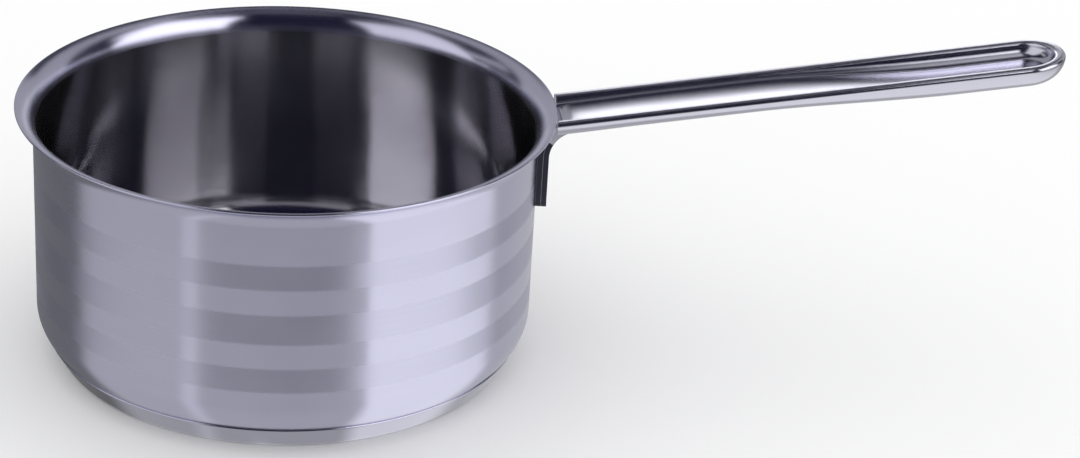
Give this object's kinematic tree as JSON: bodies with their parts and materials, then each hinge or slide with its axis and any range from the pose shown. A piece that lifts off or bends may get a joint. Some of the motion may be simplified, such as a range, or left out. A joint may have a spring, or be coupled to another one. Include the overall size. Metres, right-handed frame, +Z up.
{
  "type": "saucepan",
  "caption": "Open stainless steel saucepan with a flared pouring lip, a thick capsule base and a long channel-shaped handle welded to the wall.",
  "frame": {"origin": "middle of the flat underside of the base, on the pan's axis", "axes": "+Z up along the pan's axis, +X along the handle towards its tip"},
  "size_m": [0.3317, 0.171, 0.1111],
  "materials": {
    "body_steel": "satin, brushed round the pan, with polished bands and a bright lip",
    "core_aluminium": "plain rolled disc, hidden",
    "base_steel": "bright edge and a turned underside",
    "handle_steel": "mirror-polished stainless steel"
  },
  "bodies": {
    "root": {"pan_body": "body_steel", "base_core": "core_aluminium", "base_cap": "base_steel", "handle_lower_shell": "handle_steel", "handle_upper_shell": "handle_steel"}
  },
  "joints": []
}
